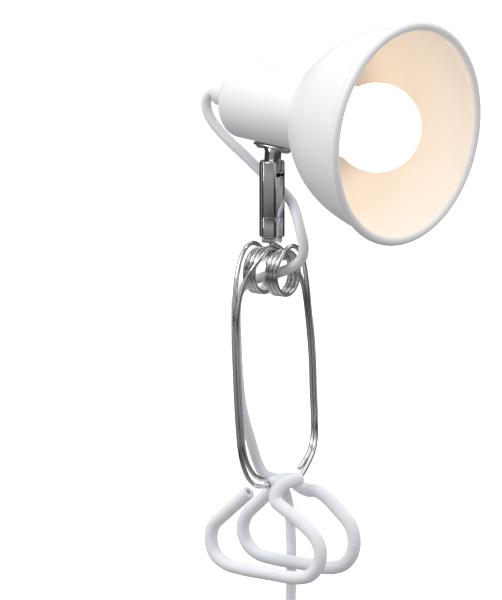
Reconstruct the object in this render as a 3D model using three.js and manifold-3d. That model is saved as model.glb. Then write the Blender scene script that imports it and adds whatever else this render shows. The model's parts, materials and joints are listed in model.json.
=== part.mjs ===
// Clip-on spot lamp: a bell shade on a tilting and swivelling knuckle, carried by a
// double torsion-spring wire clamp. Millimetres, +Z up, +X along the clamp's coil and
// the shade's axis, +Y towards the rear jaw. The origin is the middle of the clamp's
// gap, level with the top edge of the board that the clamp straddles.
import * as THREE from 'three';
import { mergeVertices } from 'three/addons/utils/BufferGeometryUtils.js';
import Module from 'manifold-3d';

const wasm = await Module();
wasm.setup();

// ---- driving dimensions (mm) ----
const COIL_Z = 117.7;            // coil axis above the board's top edge
const GAP = 0.3;                 // clearance left between touching pieces
const WIRE_D = 2.5;              // spring wire
const COIL_R = 11.6;             // mean radius of the coil
const COIL_IN = 3.1;             // inner end of each coil, from the middle
const COIL_OUT = 11.1;           // outer end of each coil, from the middle
const COIL_LEAD = 40;            // degrees past the top where the outer leg leaves
const COIL_TURN = 360 * 3 - 55;  // degrees of wire in each coil
const SLEEVE_D = 7.2;            // soft sleeve on the jaws
const SLEEVE_BORE = 3.4;
const KNUCKLE_D = 13.6;
const KNUCKLE_BOTTOM = 18.9;     // heights from here on are above the coil axis
const KNUCKLE_SEAM = 29.8;
const KNUCKLE_TOP = 59.8;
const PIVOT_Z = 55.4;            // tilt pivot
const SLOT_W = 6.6;
const NECK_W = 5.9;
const NECK_L = 7.2;              // fore and aft
const HEAD_Z = 89.4;             // axis of the housing and the shade, head upright
const HEAD_TILT = 4.9;           // degrees that the shade points down at rest
const HEAD_SWIVEL = -6.7;        // degrees that it is turned about the stud at rest
const HOUSING_R = 20.8;
const HOUSING_BACK = -25.4;
const HOUSING_FRONT = 28.2;
const BUSH_END = -42.6;
const SHADE_BACK = 28.5;
const SHADE_RIM = 93.2;
const SHADE_WALL = 1.1;
const BULB_R = 23;
const BULB_X = 70.4;
const CORD_D = 5.5;
const RING_R = 30;               // middle of the turns of the stored cord
const RING_LAYERS = 2;
const RING_ROWS = 3;
const RING_X = 36;
const RING_Y = 43;
const RING_Z = -238;

// ---- colours ----
const finish = (color, roughness, metalness) => ({ color, roughness, metalness });
const CHROME = finish(0xc9cbce, 0.12, 1);
const STEEL = finish(0x8d9196, 0.35, 1);
const BRASS = finish(0xb8974f, 0.35, 1);
const WHITE_PAINT = finish(0xe9ebec, 0.45, 0);
const WHITE_PLASTIC = finish(0xe4e6e8, 0.4, 0);
const SOFT_WHITE = finish(0xdcdee3, 0.5, 0);
const CORD_WHITE = finish(0xd9dbe2, 0.5, 0);
const LAMP_GLASS = finish(0xfff6e4, 0.3, 0);
const BLACK_PLASTIC = finish(0x2c2d2f, 0.6, 0);
const CERAMIC = finish(0xe9e4d8, 0.5, 0);

const lamp = new THREE.Group();
const upper = new THREE.Group();         // everything measured from the coil axis
upper.position.z = COIL_Z;
lamp.add(upper);
const swivel = new THREE.Group();        // turns on the stud
swivel.rotation.z = THREE.MathUtils.degToRad(HEAD_SWIVEL);
upper.add(swivel);
const tilted = new THREE.Group();        // tilts on the pivot pin
tilted.position.z = PIVOT_Z;
tilted.rotation.y = THREE.MathUtils.degToRad(HEAD_TILT);
swivel.add(tilted);
const neck = new THREE.Group();          // as the knuckle, but tilted with the head
neck.position.z = -PIVOT_Z;
tilted.add(neck);
const head = new THREE.Group();          // everything on the shade's axis, along +X
head.position.z = HEAD_Z;
neck.add(head);

function add(parent, name, geometry, look) {
  const mesh = new THREE.Mesh(geometry, new THREE.MeshStandardMaterial(look));
  mesh.name = name;
  parent.add(mesh);
  return mesh;
}

// ---- shape helpers ----
const v2 = (x, y) => new THREE.Vector2(x, y);
const v3 = (x, y, z) => new THREE.Vector3(x, y, z);

// A turned piece along +Y from [radius, height] pairs. It closes on itself
// unless it starts and ends on the axis, and always faces outwards.
function turned(pairs, segments = 24) {
  let points = pairs.map(([r, h]) => v2(r, h));
  if (THREE.ShapeUtils.area(points) < 0) points.reverse();
  const onAxis = points[0].x === 0 && points[points.length - 1].x === 0;
  if (!onAxis) points = [...points, points[0].clone()];
  return new THREE.LatheGeometry(points, segments);
}
const turnedZ = (pairs, segments) => turned(pairs, segments).rotateX(Math.PI / 2);
const turnedX = (pairs, segments) => turned(pairs, segments).rotateZ(-Math.PI / 2);
const rod = (r, from, to) => [[0, from], [r, from], [r, to], [0, to]];
const ring = (inner, outer, from, to) => [[outer, from], [outer, to], [inner, to], [inner, from]];

// A path whose rings lie exactly on the given points, so that two tubes on the
// same points stay concentric.
class RingPath extends THREE.Curve {
  constructor(points) {
    super();
    this.points = points;
  }

  getUtoTmapping(u) {
    return u;
  }

  getPoint(t, target = new THREE.Vector3()) {
    const last = this.points.length - 1;
    const place = Math.min(Math.max(t, 0), 1) * last;
    const index = Math.min(Math.floor(place), last - 1);
    return target.lerpVectors(this.points[index], this.points[index + 1], place - index);
  }
}

function roundSection(d, sides, bore = 0) {
  const corner = (r, i, way) => {
    const a = way * 2 * Math.PI * i / sides;
    return v2(r * Math.cos(a), r * Math.sin(a));
  };
  const indices = [...Array(sides).keys()];
  const shape = new THREE.Shape(indices.map((i) => corner(d / 2, i, 1)));
  if (bore > 0) shape.holes.push(new THREE.Path(indices.map((i) => corner(bore / 2, i, -1))));
  return shape;
}

function tube(points, d, sides = 8, bore = 0) {
  return new THREE.ExtrudeGeometry(roundSection(d, sides, bore), {
    steps: points.length - 1,
    bevelEnabled: false,
    extrudePath: new RingPath(points),
  });
}

// Evenly spaced points on a smooth curve through hand-chosen ones.
function smooth(handPoints, spacing) {
  const curve = new THREE.CatmullRomCurve3(handPoints.map((p) => v3(...p)), false, 'centripetal');
  curve.arcLengthDivisions = 600;
  return curve.getSpacedPoints(Math.max(2, Math.round(curve.getLength() / spacing)));
}

function prism(shape, depth, curveSegments = 10) {
  return new THREE.ExtrudeGeometry(shape, { depth, bevelEnabled: false, curveSegments });
}

function hexagon(acrossFlats, holeR = 0) {
  const r = acrossFlats / Math.sqrt(3);
  const corners = [...Array(6).keys()].map((i) => v2(r * Math.cos(i * Math.PI / 3), r * Math.sin(i * Math.PI / 3)));
  const shape = new THREE.Shape(corners);
  if (holeR > 0) shape.holes.push(new THREE.Path().absarc(0, 0, holeR, 0, 2 * Math.PI, true));
  return shape;
}

function roundedRect(width, height, radius) {
  const shape = new THREE.Shape();
  const x = width / 2 - radius;
  const y = height / 2 - radius;
  shape.absarc(x, y, radius, 0, Math.PI / 2);
  shape.absarc(-x, y, radius, Math.PI / 2, Math.PI);
  shape.absarc(-x, -y, radius, Math.PI, 1.5 * Math.PI);
  shape.absarc(x, -y, radius, 1.5 * Math.PI, 2 * Math.PI);
  return shape;
}

// ---- joining and cutting ----
function solid(geometry) {
  const bare = geometry.clone();
  bare.deleteAttribute('normal');
  bare.deleteAttribute('uv');
  const merged = mergeVertices(bare, 1e-4);
  return new wasm.Manifold(new wasm.Mesh({
    numProp: 3,
    vertProperties: new Float32Array(merged.attributes.position.array),
    triVerts: new Uint32Array(merged.index.array),
  }));
}

function shell(body) {
  const mesh = body.getMesh();
  const geometry = new THREE.BufferGeometry();
  geometry.setAttribute('position', new THREE.BufferAttribute(mesh.vertProperties, 3));
  geometry.setIndex(new THREE.BufferAttribute(mesh.triVerts, 1));
  geometry.computeVertexNormals();
  return geometry;
}

function cut(geometry, ...tools) {
  return shell(tools.reduce((body, tool) => body.subtract(solid(tool)), solid(geometry)));
}

// ---- spring clamp ----
// One coil and its two legs. side is -1 for the left coil, whose outer leg is the
// front lever, and +1 for the right coil, whose outer leg is the rear lever.
function onCoil(side, x, degrees) {
  const a = THREE.MathUtils.degToRad(degrees);
  return v3(side * x, -side * COIL_R * Math.sin(a), COIL_R * Math.cos(a));
}

function coilPoints(side) {
  const steps = 48;
  const points = [];
  for (let i = 0; i <= steps; i += 1) {
    const turn = COIL_LEAD + COIL_TURN * i / steps;
    points.push(onCoil(side, COIL_OUT + (COIL_IN - COIL_OUT) * i / steps, turn));
  }
  return points;
}

// The legs start far enough from the ends of the coil to close by a few degrees.
const LEAD_GAP = THREE.MathUtils.radToDeg(1.15 / COIL_R);
const outerStart = (side) => onCoil(side, COIL_OUT, COIL_LEAD - LEAD_GAP).toArray();
const innerStart = (side) => onCoil(side, COIL_IN, COIL_LEAD + COIL_TURN + LEAD_GAP).toArray();

const frontLeg = [
  outerStart(-1),
  [-11.1, 2.8, 13],
  [-11, -3, 14.7],
  [-10.6, -8.2, 13.5],
  [-9.8, -13.4, 9.9],
  [-8.6, -18.4, 3.9],
  [-7.3, -22.2, -2.4],
  [-5.8, -25.5, -11.4],
  [-4.5, -27.9, -20.3],
  [-3.4, -29.3, -36.3],
  [-2.8, -29.4, -52.4],
  [-2, -29.3, -69],
  [-1.2, -29, -82],
  [-0.4, -28.4, -93],
  [0.4, -26.2, -102.4],
  [1.4, -22.2, -110],
  [2.6, -17.6, -113.9],
  [3.8, -13, -114.7],
];
const rearJawPath = [
  [4.6, -9.4, -114.4],
  [4.7, -4, -114.2],
  [4.7, 3, -114],
  [5.0, 9, -114.6],
  [6.4, 13, -117.2],
  [9.6, 14.4, -119.7],
  [14.6, 14.1, -120.6],
  [19.6, 14.1, -120.2],
  [26.5, 14.1, -123],
  [34.5, 14.1, -129.2],
  [41.4, 14.1, -135.4],
  [44.2, 14.1, -142],
  [43.6, 14.1, -150.6],
  [38.2, 14.1, -158],
  [28.8, 14.1, -161.6],
  [12, 14.1, -162],
  [-9, 14.1, -162],
  [-19.6, 14.1, -160.6],
  [-26.8, 14.1, -155.8],
  [-29.6, 14.1, -148],
  [-27.4, 14.1, -140.4],
  [-18, 14.1, -131],
  [-8.4, 14.1, -121.9],
];
const rearLeg = [
  outerStart(1),
  [11.1, -2.8, 13],
  [11, 3, 14.3],
  [10.6, 8.4, 12.6],
  [9.6, 13.4, 8.6],
  [8.4, 17.4, 3.7],
  [7.1, 20.9, -1.8],
  [6, 23.8, -8],
  [5.4, 26, -15],
  [5.3, 27.9, -26],
  [5.8, 29.1, -35.3],
  [6.4, 30.2, -51.7],
  [6.7, 30.7, -68],
  [7.3, 31, -84.3],
  [8.5, 29.3, -93.9],
  [10.3, 24.6, -100.9],
  [12.2, 17.3, -106],
  [13.5, 10.8, -109.8],
  [14.1, 7.6, -111.4],
];
const frontJawPath = [
  [14.4, 5.6, -112.3],
  [14.4, 0, -112.3],
  [14.1, -5, -112.5],
  [13.2, -9.8, -113.9],
  [12, -12.9, -117.1],
  [12.6, -14.1, -121.1],
  [17, -14.1, -124.2],
  [23.2, -14.1, -127.4],
  [31.4, -14.1, -132.3],
  [38.5, -14.1, -137.8],
  [41.7, -14.1, -143.8],
  [41, -14.1, -151.7],
  [35.8, -14.1, -158.6],
  [26.6, -14.1, -161.7],
  [10, -14.1, -162],
  [-9.9, -14.1, -162],
  [-20.5, -14.1, -160.7],
  [-27.8, -14.1, -156.2],
  [-30.5, -14.1, -148],
  [-28.6, -14.1, -140.6],
  [-19, -14.1, -131.4],
  [-4.8, -14.1, -118.9],
];
// The short legs lie beside the levers and end at the crossing.
const frontShortLeg = [
  innerStart(1),
  [3.1, -6.9, 13],
  [2.3, -13.1, 9.4],
  [0.6, -18, 3.9],
  [-1.6, -21.4, -2],
  [-2.4, -25.2, -10],
  [-1.8, -28.6, -20.3],
  [-0.6, -30.3, -36.3],
  [0.2, -30.5, -52.4],
  [1.1, -30.3, -69],
  [1.9, -29.9, -82],
  [2.7, -29, -92.6],
  [3.6, -26.3, -101],
  [4.5, -21.8, -107],
  [5.5, -16.9, -110],
  [6.3, -13.2, -110.4],
];
const rearShortLeg = [
  innerStart(-1),
  [-3.1, 6.9, 13],
  [-2.2, 13.1, 9.4],
  [-0.6, 17.9, 4.4],
  [1.2, 21.6, -1.4],
  [2.2, 25, -8.6],
  [2.3, 27.4, -16],
  [2.5, 29.4, -27],
  [2.9, 30.4, -36],
  [3.6, 31.5, -51.7],
  [3.9, 32, -68],
  [4.6, 32.2, -83.6],
  [5.6, 30.8, -92.8],
  [7.1, 26.5, -99.6],
  [8.7, 20.3, -104],
  [9.2, 15.6, -107.2],
  [9.4, 12, -109],
];

const LEG_STEP = 5.5;
const JAW_MARGIN = 1;            // rings of bare bore at the sleeve's open end

function lever(legName, sleeveName, leg, jaw) {
  const path = smooth([...leg, ...jaw], LEG_STEP);
  const mouth = v3(...jaw[0]);
  const nearest = path.reduce((best, p, i) => (p.distanceTo(mouth) < path[best].distanceTo(mouth) ? i : best), 0);
  add(upper, legName, tube(path.slice(0, path.length - JAW_MARGIN), WIRE_D), CHROME);
  add(upper, sleeveName, tube(path.slice(nearest), SLEEVE_D, 8, SLEEVE_BORE), SOFT_WHITE);
}

add(upper, 'coil_left', tube(coilPoints(-1), WIRE_D), CHROME);
add(upper, 'coil_right', tube(coilPoints(1), WIRE_D), CHROME);
lever('front_lever_wire', 'rear_jaw_sleeve', frontLeg, rearJawPath);
lever('rear_lever_wire', 'front_jaw_sleeve', rearLeg, frontJawPath);
add(upper, 'front_short_leg', tube(smooth(frontShortLeg, LEG_STEP), WIRE_D), CHROME);
add(upper, 'rear_short_leg', tube(smooth(rearShortLeg, LEG_STEP), WIRE_D), CHROME);

// ---- saddle, stud and collar that hold the knuckle on the coil ----
const STUD_R = 1.5;
const HOLE_R = 1.85;
const SADDLE_R = COIL_R - WIRE_D / 2 - GAP;

function saddleBlock() {
  const halfAngle = 0.9;
  const shape = new THREE.Shape();
  shape.absarc(0, 0, SADDLE_R, Math.PI / 2 - halfAngle, Math.PI / 2 + halfAngle);
  const bar = prism(shape, 13, 12).translate(0, 0, -6.5);
  bar.rotateX(Math.PI / 2).rotateZ(Math.PI / 2);
  return cut(bar, turnedZ(rod(HOLE_R, 0, 20)));
}

add(upper, 'saddle_block', saddleBlock(), STEEL);
add(upper, 'saddle_nut', prism(hexagon(5.5, HOLE_R), 2.2).translate(0, 0, 3.3), STEEL);
add(upper, 'stud', turnedZ(rod(STUD_R, 2.7, 21.8), 16), STEEL);

function hexCollar() {
  const body = solid(prism(hexagon(10.6), 2.7).translate(0, 0, 15.9));
  const spigot = solid(turnedZ(rod(4, 18.3, 22.4)));
  return shell(body.add(spigot).subtract(solid(turnedZ(rod(HOLE_R, 10, 30), 16))));
}

add(upper, 'hex_collar', hexCollar(), CHROME);

// ---- knuckle ----
const KNUCKLE_R = KNUCKLE_D / 2;

function knuckleLower() {
  return turnedZ([
    [4.3, KNUCKLE_BOTTOM], [KNUCKLE_R - 0.5, KNUCKLE_BOTTOM], [KNUCKLE_R, KNUCKLE_BOTTOM + 0.5],
    [KNUCKLE_R, KNUCKLE_SEAM - 0.35], [KNUCKLE_R - 0.35, KNUCKLE_SEAM],
    [HOLE_R, KNUCKLE_SEAM], [HOLE_R, 26.8], [4.3, 26.8],
  ], 32);
}

function knuckleUpper() {
  const base = KNUCKLE_SEAM + 0.7;
  const body = turnedZ([
    [0, base], [KNUCKLE_R - 0.35, base], [KNUCKLE_R, base + 0.35],
    [KNUCKLE_R, KNUCKLE_TOP - 0.9], [KNUCKLE_R - 0.9, KNUCKLE_TOP], [0, KNUCKLE_TOP],
  ], 32);
  const slotDepth = NECK_L / 2 + 0.35;
  const slot = new THREE.Shape();
  slot.moveTo(-slotDepth, KNUCKLE_TOP + 1);
  slot.lineTo(-slotDepth, PIVOT_Z);
  slot.absarc(0, PIVOT_Z, slotDepth, Math.PI, 1.5 * Math.PI);
  slot.lineTo(KNUCKLE_D, PIVOT_Z - slotDepth);
  slot.lineTo(KNUCKLE_D, KNUCKLE_TOP + 1);
  const slotTool = prism(slot, SLOT_W).rotateX(Math.PI / 2).translate(0, SLOT_W / 2, 0);
  const screwHole = turnedZ(rod(HOLE_R, 20, 42), 16);
  const pinHole = turned(rod(HOLE_R, -5.7, 10), 16).translate(0, 0, PIVOT_Z);   // blind at the front
  return cut(body, slotTool, screwHole, pinHole);
}

add(upper, 'knuckle_lower', knuckleLower(), CHROME);
add(swivel, 'knuckle_upper', knuckleUpper(), CHROME);
add(swivel, 'seam_washer', turnedZ(ring(HOLE_R, 5.2, KNUCKLE_SEAM + 0.2, KNUCKLE_SEAM + 0.5), 24), STEEL);
add(swivel, 'swivel_screw', turnedZ([
  [0, 23.1], [3.4, 23.1], [3.4, 25.1], [STUD_R, 25.1], [STUD_R, 41.5], [0, 41.5],
], 20), STEEL);
add(swivel, 'swivel_spring_washer', turnedZ(ring(HOLE_R, 3.9, 25.4, 26.5), 20), STEEL);
add(swivel, 'pivot_pin', turned(rod(STUD_R, -5.4, 5.9), 16).translate(0, 0, PIVOT_Z), STEEL);

// The neck is a flat bar that tilts inside the slot, with a round foot end.
const PLATE_TOP = HEAD_Z - HOUSING_R - GAP;
const PLATE_T = 1.2;
const NECK_TOP = PLATE_TOP - PLATE_T - GAP;

function neckBar() {
  const half = NECK_L / 2;
  const shape = new THREE.Shape();
  shape.moveTo(half, PIVOT_Z);
  shape.lineTo(half, NECK_TOP - 2.4);
  shape.lineTo(half + 1.1, NECK_TOP);
  shape.lineTo(-half - 1.1, NECK_TOP);
  shape.lineTo(-half, NECK_TOP - 2.4);
  shape.lineTo(-half, PIVOT_Z);
  shape.absarc(0, PIVOT_Z, half, Math.PI, 2 * Math.PI);
  shape.holes.push(new THREE.Path().absarc(0, PIVOT_Z, HOLE_R, 0, 2 * Math.PI, true));
  const bar = prism(shape, NECK_W, 8).rotateX(Math.PI / 2).translate(0, NECK_W / 2, 0);
  return cut(bar, turnedZ(rod(HOLE_R, NECK_TOP - 6, NECK_TOP + 3), 12));
}

const SCREW_X = 8.6;             // bracket screws fore and aft of the neck
const LEFT_AND_RIGHT = [-1, 1];

function bracketPlate() {
  const shape = roundedRect(24, 9.4, 3);
  for (const x of [-SCREW_X, 0, SCREW_X]) {
    shape.holes.push(new THREE.Path().absarc(x, 0, HOLE_R, 0, 2 * Math.PI, true));
  }
  return prism(shape, PLATE_T, 6).translate(0, 0, PLATE_TOP - PLATE_T);
}

function panScrew(headR, headT, shankR, shankLength) {
  return [
    [0, -headT], [headR * 0.7, -headT], [headR, -headT * 0.55], [headR, 0],
    [shankR, 0], [shankR, shankLength], [0, shankLength],
  ];
}

add(neck, 'neck_bar', neckBar(), CHROME);
add(neck, 'bracket_plate', bracketPlate(), CHROME);
LEFT_AND_RIGHT.forEach((side) => {
  const name = side < 0 ? 'bracket_screw_rear' : 'bracket_screw_front';
  const screw = turnedZ(panScrew(2.9, 1.7, STUD_R, 6.5), 16);
  add(neck, name, screw.translate(side * SCREW_X, 0, PLATE_TOP - PLATE_T - GAP), STEEL);
});
// The neck's own screw comes down through the plate from inside the housing.
const neckScrew = turnedZ(panScrew(2.9, 1.6, STUD_R, 8.2), 16).rotateX(Math.PI);
add(neck, 'neck_screw', neckScrew.translate(0, 0, PLATE_TOP + 2), STEEL);

// ---- housing and cord bush ----
function housing() {
  const wall = 1.1;
  const back = HOUSING_BACK;
  const outer = [];
  for (let i = 0; i <= 4; i += 1) {
    const a = (i / 4) * Math.PI / 2;
    outer.push([HOUSING_R - 4.8 + 4.8 * Math.sin(a), back + 4.8 - 4.8 * Math.cos(a)]);
  }
  const inner = [...outer].reverse().map(([r, x]) => [r - wall * 0.75, x + wall * 0.85]);
  const body = turnedX([
    [4.4, back], ...outer, [HOUSING_R, HOUSING_FRONT], [HOUSING_R - wall, HOUSING_FRONT],
    ...inner, [4.4, back + wall],
  ], 32);
  const holes = [-SCREW_X, SCREW_X].map((x) => turnedZ(rod(HOLE_R, -25, -15), 12).translate(x, 0, 0));
  const neckHole = turnedZ(rod(3.4, -25, -15), 16);
  return cut(body, ...holes, neckHole);
}

function cordBush() {
  const r = 6.5;
  const bore = CORD_D / 2 + 0.4;
  return turnedX([
    [bore, BUSH_END], [r - 2, BUSH_END], [r - 0.6, BUSH_END + 0.7], [r, BUSH_END + 2.4],
    [r, HOUSING_BACK - GAP], [4, HOUSING_BACK - GAP], [4, HOUSING_BACK + 5.6], [bore, HOUSING_BACK + 5.6],
  ], 24);
}

add(head, 'housing', housing(), WHITE_PAINT);
add(head, 'cord_bush', cordBush(), WHITE_PLASTIC);
const bushNut = prism(hexagon(11.5, 4.3), 2.4).rotateY(Math.PI / 2);
add(head, 'bush_nut', bushNut.translate(HOUSING_BACK + 1.5, 0, 0), STEEL);

// ---- shade ----
// Outer face of the bell, as [distance behind the rim, radius]: it flares quickly
// behind, then runs almost straight out to a rolled bead.
const BELL = [[64.7, 21.2], [57.6, 30], [50, 37.4], [42, 43.4], [32, 48.6], [20, 52.4], [9, 54.8], [4.2, 55.8]];
const BEAD_R = 2.4;
const BEAD_PITCH = 55.8;         // radius of the bead's middle circle

function shade() {
  const curve = new THREE.SplineCurve(BELL.map(([back, r]) => v2(r, SHADE_RIM - back)));
  const outer = curve.getSpacedPoints(10).map((p) => [p.x, p.y]);
  const inner = [...outer].reverse().map(([r, x]) => [r - SHADE_WALL * 0.9, x + SHADE_WALL * 0.45]);
  inner[inner.length - 1][1] = SHADE_BACK + SHADE_WALL;
  const bead = [-0.6, 0.4, 1.4, 2.4, 3.4].map((a) => [
    BEAD_PITCH + BEAD_R * Math.cos(a), SHADE_RIM - BEAD_R + BEAD_R * Math.sin(a),
  ]);
  outer.pop();
  inner.shift();
  return turnedX([[14.6, SHADE_BACK], ...outer, ...bead, ...inner, [14.6, SHADE_BACK + SHADE_WALL]], 32);
}

add(head, 'shade', shade(), WHITE_PAINT);

// ---- lampholder and bulb ----
const holderBack = 1.4;
add(head, 'lampholder', turnedX([
  [0, holderBack], [11.5, holderBack], [11.5, 22], [16, 22], [16, SHADE_BACK - GAP],
  [14.1, SHADE_BACK - GAP], [14.1, holderBack + 34], [9.4, holderBack + 34],
  [9.4, holderBack + 11], [0, holderBack + 11],
], 28), CERAMIC);
add(head, 'retaining_ring', turnedX(ring(14.4, 18, SHADE_BACK + SHADE_WALL + GAP, 34.6), 28), CERAMIC);
add(head, 'shell_contact', turnedX(ring(8.1, 8.9, 15.4, 29.4), 24), BRASS);
add(head, 'centre_contact', turnedX(rod(3.4, 12.8, 14), 16), BRASS);
for (const side of LEFT_AND_RIGHT) {
  const screw = turnedX(rod(1.9, -1.8, 1.0), 12).translate(0, side * 6, 0);
  add(head, side < 0 ? 'terminal_screw_live' : 'terminal_screw_neutral', screw, BRASS);
}

function threadedCap() {
  const turns = 5;
  const from = 16.3;
  const to = 33.4;
  const profile = [[0, from]];
  for (let i = 0; i <= turns * 2; i += 1) {
    profile.push([i % 2 ? 7.5 : 6.9, from + 1.4 + (to - from - 1.4) * i / (turns * 2)]);
  }
  return turnedX([...profile, [0, to]], 24);
}

function bulbBody() {
  return turnedX([[0, 33.7], [7.4, 33.7], [9, 36.6], [14.2, 44.4], [19.2, 52.6], [19.2, 54], [0, 54]], 28);
}

function bulbGlobe() {
  const wall = 0.9;
  const steps = 9;
  const start = Math.PI - Math.asin(18.6 / BULB_R);
  const arc = (r) => [...Array(steps + 1).keys()].map((i) => {
    const a = start * (1 - i / steps);
    return [Math.max(0, r * Math.sin(a)), BULB_X + r * Math.cos(a)];
  });
  const outer = arc(BULB_R);
  const inner = arc(BULB_R - wall).reverse();
  outer[steps][0] = 0;
  inner[0][0] = 0;
  const points = [...outer, ...inner].map(([r, x]) => v2(r, x));
  points.push(points[0].clone());
  if (THREE.ShapeUtils.area(points) < 0) points.reverse();
  return new THREE.LatheGeometry(points, 24).rotateZ(-Math.PI / 2);
}

add(head, 'bulb_contact', turnedX(rod(2.4, 14.3, 16), 16), BRASS);
add(head, 'bulb_cap', threadedCap(), STEEL);
add(head, 'bulb_body', bulbBody(), WHITE_PLASTIC);
add(head, 'bulb_light_board', turnedX(rod(14, 54.3, 55.9), 20), WHITE_PLASTIC);
add(head, 'bulb_globe', bulbGlobe(), LAMP_GLASS);

// ---- cord ----
// Five lengths, split where the cord crosses from one moving piece to the next.
const cordHead = [
  [-39.6, 4.65, 92.95],
  [-43.6, 5.1, 92.6],
  [-46.9, 5.4, 89.4],
  [-47.6, 5.6, 84.6],
  [-45.4, 6, 79],
  [-40.6, 6.9, 73],
  [-33.4, 8.2, 66.4],
  [-25.6, 10, 59.8],
];
const cordNeck = [
  [-25.6, 10, 59.8],
  [-17.8, 11.6, 53],
  [-9, 12.8, 46.2],
  [-0.6, 12.3, 40.8],
  [6.4, 9.3, 36.6],
  [12, 4.7, 32.6],
  [16.8, 0.5, 28],
  [20.4, -2, 22.4],
  [22.4, -2.5, 16.2],
  [21.4, -2.2, 10.2],
];
const cordCoil = [
  [21.4, -2.2, 10.2],
  [17.8, -1.6, 6.2],
  [12.8, -1, 3.2],
  [8, -0.5, 1],
  [3.6, 0, -0.6],
  [-2, 0, -2.3],
  [-8, -0.8, -4.4],
];
const cordHandle = [
  [-8, -0.8, -4.4],
  [-13.2, -2.4, -6.3],
  [-15.9, -6.4, -10],
  [-15.3, -11, -15.4],
  [-12.6, -15.7, -23.4],
  [-9.5, -19.3, -33.6],
  [-7.7, -21.1, -44],
  [-6.8, -21.3, -54],
  [-5.9, -20.4, -67],
  [-4.5, -18.5, -78.5],
  [-3.5, -16, -86.5],
  [-3.1, -13, -94.5],
  [-3, -9.2, -102.5],
  [-2.6, -5, -109],
  [-2.2, 0, -112.6],
];
const cordDrop = [
  [-2.2, 0, -112.6],
  [-2.6, 7, -114.6],
  [-2.9, 13.4, -119],
  [-2.9, 18.2, -127],
  [-2.9, 21, -138],
  [-2.9, 22.2, -151],
  [-2.9, 22.6, -166],
  [-2.9, 22.4, -180],
  [-2.9, 22, -191.3],
];
const CORD_STEP = 7;
const CUT_GAP = 0.16;            // half of the gap between two lengths of the cord
const cordLengths = {
  cord_head: cordHead,
  cord_neck: cordNeck,
  cord_coil: cordCoil,
  cord_handle: cordHandle,
  cord_drop: cordDrop,
};

// The cord is sampled once from end to end, then cut square across at each join.
const cordLine = smooth(Object.values(cordLengths).flatMap((route, i) => route.slice(i ? 1 : 0)), CORD_STEP);
const indexNear = (x, y, z) => {
  const place = v3(x, y, z);
  const apart = cordLine.map((p) => p.distanceTo(place));
  return apart.indexOf(Math.min(...apart));
};

function cutEnd(index, way) {
  const before = cordLine[Math.max(index - 1, 0)];
  const after = cordLine[Math.min(index + 1, cordLine.length - 1)];
  const along = after.clone().sub(before).normalize();
  return [CUT_GAP, 2].map((far) => cordLine[index].clone().addScaledVector(along, way * far));
}

for (const [name, route] of Object.entries(cordLengths)) {
  const first = indexNear(...route[0]);
  const last = indexNear(...route.at(-1));
  const points = [...cutEnd(first, 1), ...cordLine.slice(first + 1, last), ...cutEnd(last, -1).reverse()];
  add(upper, name, tube(points, CORD_D), CORD_WHITE);
}

// ---- inline switch ----
const SWITCH_X = -2.9;
const SWITCH_Y = 22;
const SWITCH_TOP = -200;
const SWITCH_H = 46;
const SWITCH_W = 27;
const switchMiddle = SWITCH_TOP - SWITCH_H / 2;
const switchBox = new THREE.Group();
switchBox.position.set(SWITCH_X, SWITCH_Y, switchMiddle);
upper.add(switchBox);

// A half shell of the switch, open towards the other half.
function switchHalf(outerY, innerY, windowed) {
  const outline = roundedRect(SWITCH_W, SWITCH_H, 9);
  const wall = 1.6;
  const depth = Math.abs(outerY - innerY);
  const block = prism(outline, depth, 6);
  const hollow = prism(roundedRect(SWITCH_W - 2 * wall, SWITCH_H - 2 * wall, 7.4), depth, 6).translate(0, 0, wall);
  const slotEnds = turned(rod(CORD_D / 2 + 0.35, -40, 40), 12).translate(0, 0, depth);
  const tools = [hollow, slotEnds];
  if (windowed) tools.push(prism(roundedRect(10.8, 18.8, 0.4), 8, 3).translate(0, 0, -3));
  const half = cut(block, ...tools);
  half.rotateX(outerY < innerY ? -Math.PI / 2 : Math.PI / 2);
  return half.translate(0, outerY, 0);
}

add(switchBox, 'switch_cover', switchHalf(-8, -0.15, true), WHITE_PLASTIC);
add(switchBox, 'switch_base', switchHalf(8, 0.15, false), WHITE_PLASTIC);

// The rocker turns on stub axles about X, with a raised end above and below.
function rocker() {
  const face = new THREE.Shape();
  face.moveTo(-9, -7.8);
  face.quadraticCurveTo(-4.5, -8.6, 0, -7.7);
  face.quadraticCurveTo(4.5, -9.6, 9, -10.6);
  face.lineTo(8.6, -4.2);
  face.lineTo(-8.6, -2.6);
  return prism(face, 10, 6).translate(0, 0, -5).rotateY(-Math.PI / 2);
}

add(switchBox, 'switch_rocker', rocker(), BLACK_PLASTIC);
for (const side of LEFT_AND_RIGHT) {
  const blade = new THREE.BoxGeometry(3, 1, 9).translate(side * 6.6, 1.4, 0);
  add(switchBox, side < 0 ? 'switch_contact_in' : 'switch_contact_out', blade, BRASS);
}
const coverScrew = turned(rod(1.5, -1.6, 5.8), 12);
add(switchBox, 'switch_screw', coverScrew.translate(0, 0, -17.4), STEEL);

// ---- stored cord, tie and plug ----
const RING_SECTION = CORD_D + 0.05;
const ringInner = RING_R - RING_LAYERS * RING_SECTION / 2;
const ringOuter = RING_R + RING_LAYERS * RING_SECTION / 2;
const ringHalf = RING_ROWS * RING_SECTION / 2;
const cordCoilSolid = turned(ring(ringInner, ringOuter, -ringHalf, ringHalf), 32);
add(upper, 'cord_ring', cordCoilSolid.translate(RING_X, RING_Y, RING_Z), CORD_WHITE);

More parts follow.
